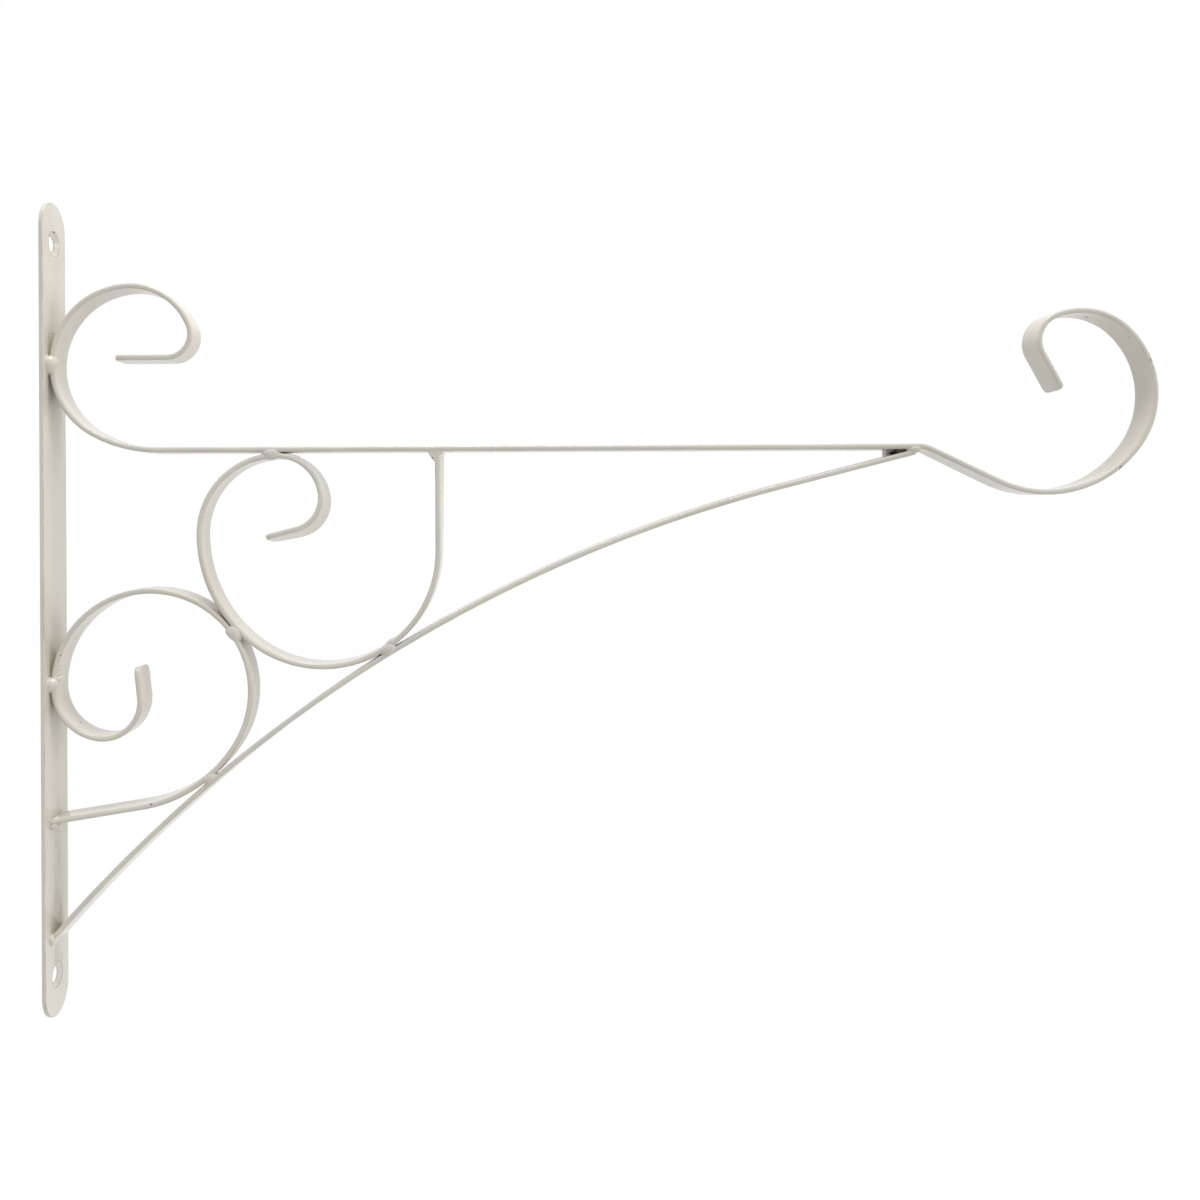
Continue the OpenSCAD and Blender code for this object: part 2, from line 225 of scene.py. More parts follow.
# Brace: a straight end under the arm, and an arch whose centre is solved to touch the lower scroll
brace_top = ahead((BRACE_REACH, arm_under - GAP / 2, BRACE_A - 90), BAR_T / 2)
brace_start = (*brace_top[:2], BRACE_A + 180)
brace_along = np.array(ahead((0, 0, BRACE_A), 1)[:2])
brace_hub = np.array(ahead(brace_top, BRACE_R)[:2])
brace_from_scroll = brace_hub - low_end_c
brace_b = brace_from_scroll @ brace_along
brace_q = brace_from_scroll @ brace_from_scroll - (BRACE_R + low_end_r + TOUCH) ** 2
brace_straight = brace_b - math.sqrt(brace_b ** 2 - brace_q)
brace_c = brace_hub - brace_straight * brace_along
brace_foot_a = math.degrees(math.acos((PLATE_T - brace_c[0]) / BRACE_R))
brace_foot = (PLATE_T, brace_c[1] + BRACE_R * math.sin(math.radians(brace_foot_a)), brace_foot_a + 90)
brace_arch_a = brace_foot_a - 90 - BRACE_A

# Middle scroll: it hangs under the arm, lies on the lower scroll and on the brace, and ends under the arm
under_arm_z = arm_under - GAP - BAR_T / 2
mid_first_z = under_arm_z - MID_FIRST[0]
mid_reach = low_side_r + MID_SIDE[0] + TOUCH
mid_side_x = low_side_c[0] + math.sqrt(mid_reach ** 2 - (mid_first_z - low_side_c[1]) ** 2)
mid_start = (mid_side_x - MID_SIDE[0] + MID_FIRST[0], under_arm_z, 180)
mid_low = after(mid_start, [MID_FIRST, MID_SIDE])
mid_n = np.array(beside((0, 0, mid_low[2]), 1)[:2])
mid_v = np.array(mid_low[:2]) - brace_c
mid_last_r = (mid_v @ mid_v - (BRACE_R + TOUCH) ** 2) / (2 * (BRACE_R + TOUCH - mid_v @ mid_n))
mid_over = [MID_FIRST, MID_SIDE, (mid_last_r, 270 - MID_FIRST[1] - MID_SIDE[1])]
mid_side_c = centre(after(mid_start, mid_over[:1]), mid_over[1])
mid_last_c = centre(mid_low, mid_over[2])
mid_turned = after(mid_start, mid_over)
mid_rise = arm_under - mid_turned[1] - BUTT_GAP

# Poses in the middle of the gaps between pieces that touch
scrolls_meet = touch_pose(low_side_c, mid_side_c, low_side_r + TOUCH / 2)
low_meets_brace = touch_pose(low_end_c, brace_c, low_end_r + TOUCH / 2)
mid_meets_brace = touch_pose(mid_last_c, brace_c, mid_last_r + TOUCH / 2)


def stations(start, moves):
    """x, z and heading in radians along a bent bar, as three arrays.

    A straight runs on from its start by its length, and a bend is an arc about its centre.
    """
    parts = []
    pose = start
    for radius, turn in moves:
        bend_l = radius * math.radians(abs(turn))
        steps = turn / STRAIGHT_STEP if radius == 0 else max(abs(turn) / TURN_STEP, bend_l / BEND_STEP)
        share = np.arange(math.ceil(steps)) / math.ceil(steps)
        if radius == 0:
            heading = np.full(len(share), math.radians(pose[2]))
            x = pose[0] + share * turn * np.cos(heading)
            z = pose[1] + share * turn * np.sin(heading)
        else:
            middle = centre(pose, (radius, turn))
            heading = np.radians(pose[2] + share * turn)
            x = middle[0] + math.copysign(radius, turn) * np.sin(heading)
            z = middle[1] - math.copysign(radius, turn) * np.cos(heading)
        parts.append(np.stack([x, z, heading]))
        pose = after(pose, [(radius, turn)])
    parts.append(np.array([[pose[0]], [pose[1]], [math.radians(pose[2])]]))
    return np.concatenate(parts, axis=1)


def bent(start, forth, away=()):
    """Path of a bar from a start: forth along one list of moves, and the other way along a second."""
    there = stations(start, forth)
    if not away:
        return there
    here = stations(back(start), away)[:, ::-1]
    here[2] += math.pi
    return np.concatenate([here[:, :-1], there], axis=1)


def run_along(path):
    """Distance of each station from the path's start."""
    return np.concatenate([[0], np.cumsum(np.hypot(np.diff(path[0]), np.diff(path[1])))])


def with_tips(path, free):
    """The path with closer stations over the last TIP_R of each free end, closest at the very end."""
    run = run_along(path)
    reach = TIP_R * (1 - np.cos(np.linspace(0, math.pi / 2, TIP_RINGS)))
    wanted = run
    if free[0]:
        wanted = np.concatenate([reach, wanted[wanted > TIP_R]])
    if free[1]:
        wanted = np.concatenate([wanted[wanted < run[-1] - TIP_R], run[-1] - reach[::-1]])
    return np.stack([np.interp(wanted, run, row) for row in path])


def pulled_in(distance, radius):
    """How far a round corner has pulled in at a distance from the end: radius less its circle's height."""
    reach = np.clip(radius - distance, 0, radius)
    return radius - np.sqrt(radius ** 2 - reach ** 2)


def section(path, half_t, y_low, y_high, edge, lean=0):
    """Rings of a flat bar: at each station a rectangle, across the path and along Y, with round corners.

    Each corner is an arc of radius edge about a point that is edge inside both its sides. Where the bar
    is twisted, its far edge stands to the left of its near edge by lean.
    """
    x, z, heading = path
    signs = np.array([[1, 1], [-1, 1], [-1, -1], [1, -1]]).repeat(CORNER_POINTS, axis=0)
    turned = np.tile(CORNER_TURN, 4) + np.arange(4).repeat(CORNER_POINTS) * math.pi / 2
    edge = np.minimum(edge, half_t)[:, None]
    across = signs[:, 0] * (half_t[:, None] - edge) + edge * np.cos(turned)
    middle, half_w = (y_high + y_low)[:, None] / 2, (y_high - y_low)[:, None] / 2
    along_y = middle + signs[:, 1] * (half_w - edge) + edge * np.sin(turned)
    across = across + np.reshape(lean, (-1, 1)) * (along_y / BAR_W + 0.5)
    sideways = np.sin(heading)[:, None], np.cos(heading)[:, None]
    return np.stack([x[:, None] - across * sideways[0], along_y, z[:, None] + across * sideways[1]], axis=-1)


def bar_rings(path, free=(False, False), lean=None):
    """Rings of a bent bar. A free end has its corners rounded on the flat and its edges all round.

    Its lean is worked out from its stations and their distances from the path's start.
    """
    path = with_tips(path, free)
    run = run_along(path)
    far = np.full(len(run), float(BAR_W))
    to_end = np.minimum(run if free[0] else far, run[-1] - run if free[1] else far)
    half_t = BAR_T / 2 - pulled_in(to_end, END_R)
    half_w = BAR_W / 2 - pulled_in(to_end, TIP_R)
    return section(path, half_t, -half_w, half_w, EDGE_R, lean(path, run) if lean else 0)


def skin(rings, worn=0):
    """A closed skin: quads between neighbouring rings, and a fan over each end.

    Returns its points, its faces and each point's wear, from 0 on a flat to 1 along a bar's corners.
    """
    count, around = rings.shape[:2]
    start = np.arange(count - 1)[:, None] * around
    here = np.arange(around)
    beyond = (here + 1) % around
    quads = np.stack([start + here, start + beyond, start + around + beyond, start + around + here], axis=-1)
    last = (count - 1) * around
    middle = count * around
    fans = np.concatenate([
        np.stack([beyond, here, np.full(around, middle)], axis=-1),
        np.stack([last + here, last + beyond, np.full(around, middle + 1)], axis=-1)
    ])
    points = np.concatenate([rings.reshape(-1, 3), rings[[0, -1]].mean(axis=1)])
    wear = np.append(np.broadcast_to(worn, (count, around)).ravel(), [0, 0])
    return points, quads.reshape(-1, 4).tolist() + fans.tolist(), wear


def mesh_of(name, *skins):
    """A mesh of one or more skins, merged where points meet, with its faces outwards, in millimetres."""
    mesh = bpy.data.meshes.new(name)
    faces, count = [], 0
    for skin_points, skin_faces, _ in skins:
        faces += [[index + count for index in face] for face in skin_faces]
        count += len(skin_points)
    mesh.from_pydata(np.concatenate([each[0] for each in skins]).tolist(), [], faces)
    wear = mesh.attributes.new("wear", "FLOAT", "POINT")
    wear.data.foreach_set("value", np.concatenate([each[2] for each in skins]))
    form = bmesh.new()
    form.from_mesh(mesh)
    bmesh.ops.remove_doubles(form, verts=form.verts, dist=1e-4)
    bmesh.ops.recalc_face_normals(form, faces=form.faces)
    form.to_mesh(mesh)
    form.free()
    return mesh


def scaled(mesh, factor):
    """Multiplies a mesh's points by a factor."""
    points = np.empty(3 * len(mesh.vertices))
    mesh.vertices.foreach_get("co", points)
    mesh.vertices.foreach_set("co", points * factor)
    mesh.update()


def piece(mesh, node, finish):
    """Shows a mesh in millimetres in place of a node of the frame, in metres, smooth but for sharp edges."""
    scaled(mesh, MM)
    mesh.shade_smooth()
    mesh.set_sharp_from_angle(angle=math.radians(SHARP_A))
    mesh.materials.clear()
    mesh.materials.append(finish)
    made = bpy.data.objects.new(mesh.name, mesh)
    bpy.context.scene.collection.objects.link(made)
    made.modifiers.new("flat_sides", "WEIGHTED_NORMAL").keep_sharp = True
    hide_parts(node)
    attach(made, "root")


def cut_at_plate(rings):
    """Ends a bar in the plate's face: its last ring is carried on along the bar as far as the face."""
    step = rings[-1] - rings[-2]
    share = (PLATE_T - rings[-1][:, 0]) / step[:, 0]
    return np.concatenate([rings, (rings[-1] + share[:, None] * step)[None]])


# Finishes


def linear(hex_colour):
    """Linear RGBA of an sRGB hex colour."""
    srgb = np.array([int(hex_colour[i:i + 2], 16) for i in (1, 3, 5)]) / 255
    rgb = np.where(srgb <= 0.04045, srgb / 12.92, ((srgb + 0.055) / 1.055) ** 2.4)
    return (*rgb, 1.0)


def add(tree, kind, settings=None, values=None, feeds=None):
    """Adds a node: its settings by name, its sockets' values, and the sockets that feed it."""
    made = tree.nodes.new("ShaderNode" + kind)
    for name, value in (settings or {}).items():
        setattr(made, name, value)
    for name, value in (values or {}).items():
        made.inputs[name].default_value = value
    for name, source in (feeds or {}).items():
        tree.links.new(source, made.inputs[name])
    return made


def per_mm(size):
    """Scale of a pattern on coordinates in metres, for a cell of a size in millimetres."""
    return 1 / (size * MM)


# Cream powder coat: polyester powder, sprayed on the welded bracket and stoved. It gives the eye a thick
# even film, a glossy cream that is slightly clouded, with a fine orange peel, a thin dirty film along the
# sharp edges and small specks. The near-black in the gaps between bars and beside welds is painted shade.
# Over weld metal its peel is coarser.
CREAM = "#DAD6CB"
CREAM_WARM = "#CFC9BA"
CREAM_COOL = "#CCCDCB"
WORN_EDGE = "#A39C8C"
# Painted shade: near-black for the gaps between bars, against the plate and beside welds
PAINTED_SHADE_DARK = "#2E2B27"
SPECK_BROWN = "#6E6558"
COAT_IOR = 1.5
COAT_GLOSS = (0.16, 0.26)
MARK_ROUGH = 0.7
CLOUD_MM = 38
CHILL_MM = 22.8
GRAIN_MM = 1.1
GRAIN_SHARE = 0.22
WORN_MM = 6
WORN_SHARE = 0.22
PEEL_MM = 2.2
PEEL_DEPTH_MM = 0.012
WELD_PEEL_MM = 1.4
WELD_PEEL_DEPTH_MM = 0.05
RAGGED_MM = 0.8
MARK_EDGE = (0.95, 1.35)
RIM_LINE_OUT = 0.1
RIM_LINE_W = 0.28
RIM_LINE_SHARE = 0.6

# Marks: x, y and z in mm, heading in degrees, and half lengths along the heading, to its side and along Y.
# The first list is of painted shade in the gaps beside welds and against the plate, the second of specks in
# the coat.
SHADOWED = [
    (scrolls_meet[0], 1.5, scrolls_meet[1], scrolls_meet[2], 9.0, 0.7, 7.4),
    (low_meets_brace[0], 1.5, low_meets_brace[1], low_meets_brace[2], 14.0, 0.7, 7.4),
    (mid_meets_brace[0], 1.5, mid_meets_brace[1], mid_meets_brace[2], 9.0, 0.7, 7.4),
    (mid_start[0] + 0.5, 1.5, arm_under - GAP / 2, 0, 6.0, 0.6, 7.4),
    (311.5, 2.5, arm_under - 1.2, 8, 3.4, 1.5, 7.5),
    (PLATE_T + GAP / 2, 3.5, scroll_z - 2.5, 90, 9.0, 0.4, 8.8),
    (PLATE_T + GAP / 2, 3.5, LOW_Z + 1, 90, 7.5, 0.4, 8.8),
    (mid_turned[0] - BAR_T / 2, -5.6, 50, 90, 4.5, 0.3, 0.5),
]
SPECKS = [
    (1.4, 0.2, 139.3, 90, 0.8, 0.8, 0.9),
    (0.9, -1.9, 137.6, 90, 0.8, 0.9, 0.8),
    (1.5, -1.3, 101.6, 90, 0.7, 0.4, 0.5),
    (1.5, 3.7, -75.4, 90, 0.35, 0.3, 0.8),
    (8.8, 1.2, -10.5, 60, 0.4, 0.4, 0.5),
    (10.3, 0.9, -42.0, -40, 0.35, 0.35, 0.6),
    (5.7, -5.7, -16.3, 20, 1.1, 0.22, 0.6),
    (38.4, -5.9, -70.8, 15, 0.8, 0.4, 0.4),
    (383.3, 0.3, 106.3, 170, 1.3, 0.3, 0.8),
    (396.9, -3.7, 98.2, 130, 0.9, 0.3, 0.5),
    (403.4, -5.8, 89.2, 105, 1.6, 0.35, 0.5),
    (404.2, -5.8, 86.6, 100, 0.9, 0.3, 0.4),
    (392.3, -5.9, 50.4, 55, 1.5, 0.35, 0.6),
    (141.5, -5.4, 54.9, 40, 0.7, 0.35, 1.2),
]


def marks_mask(tree, place, ragged, marks):
    """1 inside any of the ellipsoids of a list of marks, 0 outside, with a ragged border."""
    total = None
    for x, y, z, heading, along, side, deep in marks:
        inside = add(
            tree, "Mapping", {"vector_type": "TEXTURE"},
            {"Location": (x * MM, y * MM, z * MM), "Rotation": (0, -math.radians(heading), 0),
             "Scale": (along * MM, deep * MM, side * MM)},
            {"Vector": place}
        )
        far = add(tree, "VectorMath", {"operation": "LENGTH"}, feeds={0: inside.outputs[0]})
        uneven = add(tree, "Math", {"operation": "ADD"}, feeds={0: far.outputs["Value"], 1: ragged})
        mask = add(
            tree, "MapRange", {"interpolation_type": "SMOOTHSTEP"},
            {"From Min": MARK_EDGE[1], "From Max": MARK_EDGE[0]}, {"Value": uneven.outputs[0]}
        ).outputs["Result"]
        if total:
            mask = add(tree, "Math", {"operation": "MAXIMUM"}, feeds={0: total, 1: mask}).outputs[0]
        total = mask
    return total


def patches(tree, place, size_mm, detail, low, high):
    """Noise with patches of a size, spread from 0 where it is low to 1 where it is high."""
    scale = per_mm(size_mm)
    made = add(tree, "TexNoise", values={"Scale": scale, "Detail": detail}, feeds={"Vector": place})
    return add(
        tree, "MapRange", values={"From Min": low, "From Max": high}, feeds={"Value": made.outputs["Fac"]}
    ).outputs["Result"]


def rim_line(tree, place):
    """Share of a darker brown line along the rims of both countersinks, 0 elsewhere.

    It is where the distance from the nearer hole's axis is the rim's radius, on the plate's front.
    """
    at = add(tree, "SeparateXYZ", feeds={"Vector": place}).outputs
    height = add(tree, "Math", {"operation": "ABSOLUTE"}, feeds={0: at["Z"]})
    height = add(tree, "Math", {"operation": "SUBTRACT"}, {1: HOLES_Z * MM}, {0: height.outputs[0]})
    spoke = add(tree, "CombineXYZ", feeds={"Y": at["Y"], "Z": height.outputs[0]})
    radius = add(tree, "VectorMath", {"operation": "LENGTH"}, feeds={0: spoke.outputs[0]}).outputs["Value"]
    rim_r = (SINK_D / 2 + RIM_LINE_OUT) * MM
    off = add(tree, "Math", {"operation": "SUBTRACT"}, {1: rim_r}, {0: radius})
    off = add(tree, "Math", {"operation": "ABSOLUTE"}, feeds={0: off.outputs[0]})
    line = add(
        tree, "MapRange", {"interpolation_type": "SMOOTHSTEP"},
        {"From Min": RIM_LINE_W * MM, "From Max": 0.0, "To Max": RIM_LINE_SHARE}, {"Value": off.outputs[0]}
    ).outputs["Result"]
    front = add(
        tree, "MapRange", values={"From Min": PLATE_T / 2 * MM, "From Max": PLATE_T * 2 / 3 * MM},
        feeds={"Value": at["X"]}
    ).outputs["Result"]
    return add(tree, "Math", {"operation": "MULTIPLY"}, feeds={0: line, 1: front}).outputs[0]


def worn_edges(tree, place):
    """Share of dirt along the sharp edges: the piece's own wear, broken up by noise."""
    wear = add(tree, "Attribute", {"attribute_name": "wear"}).outputs["Fac"]
    broken = patches(tree, place, WORN_MM, detail=3.0, low=0.35, high=0.65)
    worn = add(tree, "Math", {"operation": "MULTIPLY"}, feeds={0: wear, 1: broken})
    return add(tree, "Math", {"operation": "MULTIPLY"}, {1: WORN_SHARE}, {0: worn.outputs[0]}).outputs[0]


def coat_colour(tree, place, grain, specks, painted_gap_shade):
    """Cream with cool and warm clouds and grain, and over it worn edges, rims, specks and painted gap shade.
    """
    cloud = patches(tree, place, CLOUD_MM, detail=2.0, low=0.45, high=0.8)
    chill = patches(tree, place, CHILL_MM, detail=1.0, low=0.5, high=0.85)
    grainy = add(tree, "Math", {"operation": "MULTIPLY"}, {1: GRAIN_SHARE}, {0: grain}).outputs[0]
    colour = add(
        tree, "Mix", {"data_type": "RGBA"}, {6: linear(CREAM), 7: linear(CREAM_COOL)}, {0: chill}
    ).outputs[2]
    # The last layer is painted shade, which darkens the gaps between bars and beside welds
    layers = [
        (cloud, CREAM_WARM), (grainy, CREAM_WARM), (worn_edges(tree, place), WORN_EDGE),
        (rim_line(tree, place), SPECK_BROWN), (specks, SPECK_BROWN), (painted_gap_shade, PAINTED_SHADE_DARK)
    ]
    for share, over in layers:
        made = add(tree, "Mix", {"data_type": "RGBA"}, {7: linear(over)}, {0: share, 6: colour})
        colour = made.outputs[2]
    return colour


def powder_coat(name, peel_mm, peel_depth_mm):
    """The coat's material: its colour, duller where it is marked, and the depth and size of its peel."""
    made = bpy.data.materials.new(name)
    made.use_nodes = True
    tree = made.node_tree
    surface = tree.nodes["Principled BSDF"]
    surface.inputs["IOR"].default_value = COAT_IOR
    place = add(tree, "TexCoord").outputs["Object"]
    ragged = add(
        tree, "TexNoise", values={"Scale": per_mm(RAGGED_MM), "Detail": 2.0}, feeds={"Vector": place}
    ).outputs["Fac"]
    specks = marks_mask(tree, place, ragged, SPECKS)
    # Painted shade: the gaps where bars touch each other or the plate, and the corner behind the brace–arm
    # bead, darkened almost to black
    painted_gap_shade = marks_mask(tree, place, ragged, SHADOWED)
    grain = patches(tree, place, GRAIN_MM, detail=2.0, low=0.3, high=0.7)
    tree.links.new(coat_colour(tree, place, grain, specks, painted_gap_shade), surface.inputs["Base Color"])
    gloss = add(
        tree, "MapRange", values={"To Min": COAT_GLOSS[0], "To Max": COAT_GLOSS[1]}, feeds={"Value": grain}
    ).outputs["Result"]
    marked = add(tree, "Math", {"operation": "MAXIMUM"}, feeds={0: specks, 1: painted_gap_shade}).outputs[0]
    rough = add(tree, "MapRange", values={"To Max": MARK_ROUGH}, feeds={"Value": marked, "To Min": gloss})
    tree.links.new(rough.outputs["Result"], surface.inputs["Roughness"])
    peel = add(tree, "TexNoise", values={"Scale": per_mm(peel_mm), "Detail": 1.0}, feeds={"Vector": place})
    bump = add(
        tree, "Bump", values={"Strength": 1.0, "Distance": peel_depth_mm * MM},
        feeds={"Height": peel.outputs["Fac"]}
    )
    tree.links.new(bump.outputs["Normal"], surface.inputs["Normal"])
    return made


coat = powder_coat("cream_powder_coat", PEEL_MM, PEEL_DEPTH_MM)
weld_coat = powder_coat("cream_powder_coat_on_weld", WELD_PEEL_MM, WELD_PEEL_DEPTH_MM)

# Bars


def rise(value, start, end):
    """Smooth step from 0 at start to 1 at end."""
    share = np.clip((value - start) / (end - start), 0, 1)
    return share * share * (3 - 2 * share)


def hook_lean(path, run):
    """Beyond the arm the bar is turned about the vertical, so its far edge is nearer to the wall."""
    return HOOK_TWIST * np.sin(path[2]) * rise(path[0], ARM_REACH, ARM_REACH + HOOK_TWIST_L)


def middle_lean(path, run):
    """The inner curl's far edge stands outwards, most at its lowest part, and the tail's a little too."""
    curl = CURL_TWIST * np.exp(-((run - CURL_TWIST_AT) / CURL_TWIST_L) ** 2)
    return -curl - TAIL_TWIST * rise(run, run[-1] - TAIL_TWIST_L, run[-1])


def brace_lean(path, run):
    """The foot's far edge stands a little lower."""
    return FOOT_TWIST * rise(run, run[-1] - FOOT_TWIST_FROM, run[-1] - FOOT_TWIST_TO)


def bar(name, node, rings):
    """Shows a bar's rings in place of its node, worn along the corners."""
    piece(mesh_of(name, skin(rings, BAR_WEAR)), node, coat)


arm_path = bent(arm_start, scroll_down + [(0, arm_run)] + HOOK, scroll_up)
bar("arm_and_hook_bar", "top_arm", bar_rings(arm_path, (True, True), hook_lean))
low_path = bent(low_start, LOW_OVER + [(0, low_back - BAR_T)], LOW_CURL)
bar("lower_scroll_bar", "lower_scroll", cut_at_plate(bar_rings(low_path, (True, False))))
mid_path = bent(mid_start, mid_over + [(0, mid_rise)], MID_CURL)
bar("middle_scroll_bar", "middle_scroll", bar_rings(mid_path, (True, False), middle_lean))
foot_short_a = math.degrees(FOOT_SHORT / BRACE_R)
brace_path = bent(brace_start, [(0, brace_straight), (BRACE_R, brace_arch_a - foot_short_a)])
bar("brace_bar", "brace", cut_at_plate(bar_rings(brace_path, lean=brace_lean)))


# Welds


def powered(value, power):
    """A value's size raised to a power, with its sign kept."""
    return np.sign(value) * np.abs(value) ** power


def blob(pose, reach, on=0, over=0, proud=0, power=1.0):
    """A lump of weld metal, on along a pose's heading and over to its left, with half lengths reach.

    It is an ellipsoid whose sines and cosines are raised to a power: below 1 it is boxy, above 1 its
    sides are flat slopes. It stands proud of the bars' near edges, and three waves make it uneven, turned
    by its place. None of it comes near the back of the plate.
    """
    x, z, heading = beside(ahead(pose, on), over)
    turned = math.radians(heading)
    polar = np.linspace(0, math.pi, BLOB_RINGS)[:, None]
    around = np.linspace(0, 2 * math.pi, BLOB_POINTS, endpoint=False)[None]
    uneven = 1 + BLOB_UNEVEN * np.sin(3 * around + 7 * on + 5 * over) * np.sin(polar)
    ring = np.sin(polar) ** power
    u = reach[0] * uneven * ring * powered(np.cos(around), power)
    v = reach[1] * uneven * ring * powered(np.sin(around), power)
    w = reach[2] * powered(np.cos(polar), power) + 0 * around
    points = np.stack([
        np.maximum(x + u * math.cos(turned) - v * math.sin(turned), BACK_CLEAR),
        reach[2] - BAR_W / 2 - proud - w,
        z + u * math.sin(turned) + v * math.cos(turned)
    ], axis=-1)
    return skin(points)


def web(x, z, corners, y_low, y_high):
    """A prism of weld metal that fills a corner between two bars: its outline from a place, run along Y."""
    outline = np.array(corners) + (x, z)
    rings = [np.insert(outline, 1, y, axis=1) for y in np.linspace(y_low, y_high, WEB_RINGS)]
    return skin(np.array(rings))


def root(path, thickness=BAR_T, y_low=-BAR_W / 2, y_high=-BAR_W / 2 + ROOT_DEPTH):
    """The stretch of a bar that a weld has bitten into, a little inside the bar's own skin."""
    count = len(path[0])
    low, high = np.full(count, y_low + SLIM), np.full(count, y_high)
    return skin(section(path, np.full(count, thickness / 2 - SLIM), low, high, EDGE_R))


def bend_root(pose, over, radius):
    """Root in a bend that passes a pose on its left by over. Its radius is negative if it turns right."""
    side = math.copysign(1, radius)
    turn = math.degrees(ROOT_L / abs(radius))
    return root(bent(beside(pose, over), [(abs(radius), side * turn)], [(abs(radius), -side * turn)]))


def plate_root(z):
    """Root in the wall plate, about a height, over the near half of the plate's width."""
    path = bent((PLATE_T / 2, z, 90), [(0, ROOT_L)], [(0, ROOT_L)])
    return root(path, PLATE_T, -PLATE_W / 2, 0)


def arm_root(x, beyond=ROOT_L, **width):
    """Root in the straight arm, about a place along it, and beyond it by a length."""
    return root(bent((x, ARM_Z, 0), [(0, beyond)], [(0, ROOT_L)]), **width)


def end_root(pose, **width):
    """Root in the last stretch of a bar that ends at a pose."""
    return root(bent(ahead(pose, -ROOT_PAST), [(0, 2 * ROOT_PAST)], [(0, ROOT_L)]), **width)


def weld(name, node, *skins):
    """Flows skins together: they are remeshed as one and smoothed, which leaves fillets between them."""
    mesh = mesh_of(name + "_parts", *skins)
    rough = bpy.data.objects.new(name + "_parts", mesh)
    bpy.context.scene.collection.objects.link(rough)
    remesh = rough.modifiers.new("one_skin", "REMESH")
    remesh.mode = "VOXEL"
    remesh.voxel_size = VOXEL
    flow = rough.modifiers.new("flow", "SMOOTH")
    flow.factor = 0.5
    flow.iterations = FLOW_STEPS
    solid = bpy.data.meshes.new_from_object(rough.evaluated_get(bpy.context.evaluated_depsgraph_get()))
    solid.name = name
    bpy.data.objects.remove(rough)
    piece(solid, node, weld_coat)


# A root over the whole width of a bar, and a web's width, a little short of the bars' edges
whole_width = {"y_high": BAR_W / 2 - SLIM}
web_width = (0.2 - BAR_W / 2, BAR_W / 2 - 0.4)

weld("bead_between_scrolls", "weld_between_scrolls",
     bend_root(scrolls_meet, TOUCH / 2, low_side_r), bend_root(scrolls_meet, -TOUCH / 2, -MID_SIDE[0]),
     blob(scrolls_meet, (3.3, 2.5, 2.2), on=-3.4, over=0.8, proud=0.75, power=0.85))

weld("bead_lower_scroll_to_brace", "weld_lower_scroll_to_brace",
     bend_root(low_meets_brace, TOUCH / 2, low_end_r), bend_root(low_meets_brace, -TOUCH / 2, -BRACE_R),
     blob(low_meets_brace, (2.9, 1.9, 2.2), on=0.2, over=0.15, proud=0.7, power=0.85))

# A bead with a second, lower lump that runs up the scroll
weld("bead_middle_scroll_to_brace", "weld_middle_scroll_to_brace",
     bend_root(mid_meets_brace, TOUCH / 2, mid_last_r), bend_root(mid_meets_brace, -TOUCH / 2, -BRACE_R),
     blob(mid_meets_brace, (3.1, 2.3, 2.4), on=1.6, over=0.2, proud=0.8, power=0.85),
     blob(mid_meets_brace, (2.8, 1.3, 2.4), on=4.2, over=1.8, proud=0.3))

# Saddles in the corners between the plate and the two scrolls that stand on it, the lower with a tongue
at_plate = PLATE_T + GAP / 2
weld("bead_arm_to_plate", "weld_arm_to_plate",
     plate_root(scroll_z), bend_root((at_plate, scroll_z, 90), -TOUCH / 2, -SCROLL_SIDE_R),
     blob((PLATE_T, 89.9, 90), (3.4, 3.2, 3.2), over=-0.3, proud=2.4))
weld("bead_lower_scroll_to_plate", "weld_lower_scroll_to_plate",
     plate_root(LOW_Z), bend_root((at_plate, LOW_Z, 90), -TOUCH / 2, -LOW_CURL[0][0]),
     blob((PLATE_T, -27, 90), (2.8, 3.4, 3.0), over=-0.3, proud=2.2),
     blob((4.3, -25.6, 35), (2.4, 1.2, 2.0), proud=0.7))

# Two lumps round the end of the lower scroll's tail
weld("bead_lower_tail_to_plate", "weld_lower_tail_to_plate",
     plate_root(low_tail[1]), end_root(low_tail),
     blob((2.3, low_tail[1] - 1.4, -10), (2.3, 1.5, 3.0), proud=0.5),
     blob((2.6, low_tail[1] + 0.3, 40), (2.0, 1.1, 1.8), proud=0.7))

# A fillet under the brace's foot, and a narrow ridge up its near edge
weld("bead_brace_to_plate", "weld_brace_to_plate",
     plate_root(brace_foot[1]), end_root(brace_foot, **whole_width),
     web(PLATE_T, brace_foot[1], [(-0.4, 0), (2, 1), (1.0, -1.3), (-0.4, -2.6)], *web_width),
     blob((PLATE_T + 0.5, brace_foot[1] + 0.4, 90), (1.9, 0.9, 1.8), proud=0.9))

weld("bead_middle_scroll_to_arm", "weld_middle_scroll_to_arm",
     arm_root(mid_start[0] - 3),
     bend_root((mid_start[0], arm_under - GAP / 2, 180), TOUCH / 2, MID_FIRST[0]),
     blob((82.5, 56.9, 8), (3.4, 2.3, 2.4), proud=0.5, power=0.85))

# A long fillet on the left of the middle scroll's tail, and a small one on its right
half_t = BAR_T / 2
weld("bead_middle_tail_to_arm", "weld_middle_tail_to_arm",
     arm_root(mid_turned[0], **whole_width),
     root(bent((mid_turned[0], arm_under - ROOT_L, 90), [(0, ROOT_L + 2 * ROOT_PAST)]), **whole_width),
     web(mid_turned[0], arm_under, [(-half_t - 3, 0.4), (0, 0.4), (0, -5), (-half_t - 1.2, -2.6)],
         *web_width),
     web(mid_turned[0], arm_under, [(0, 0.4), (half_t + 1.6, 0.4), (0, -2.8)], *web_width))
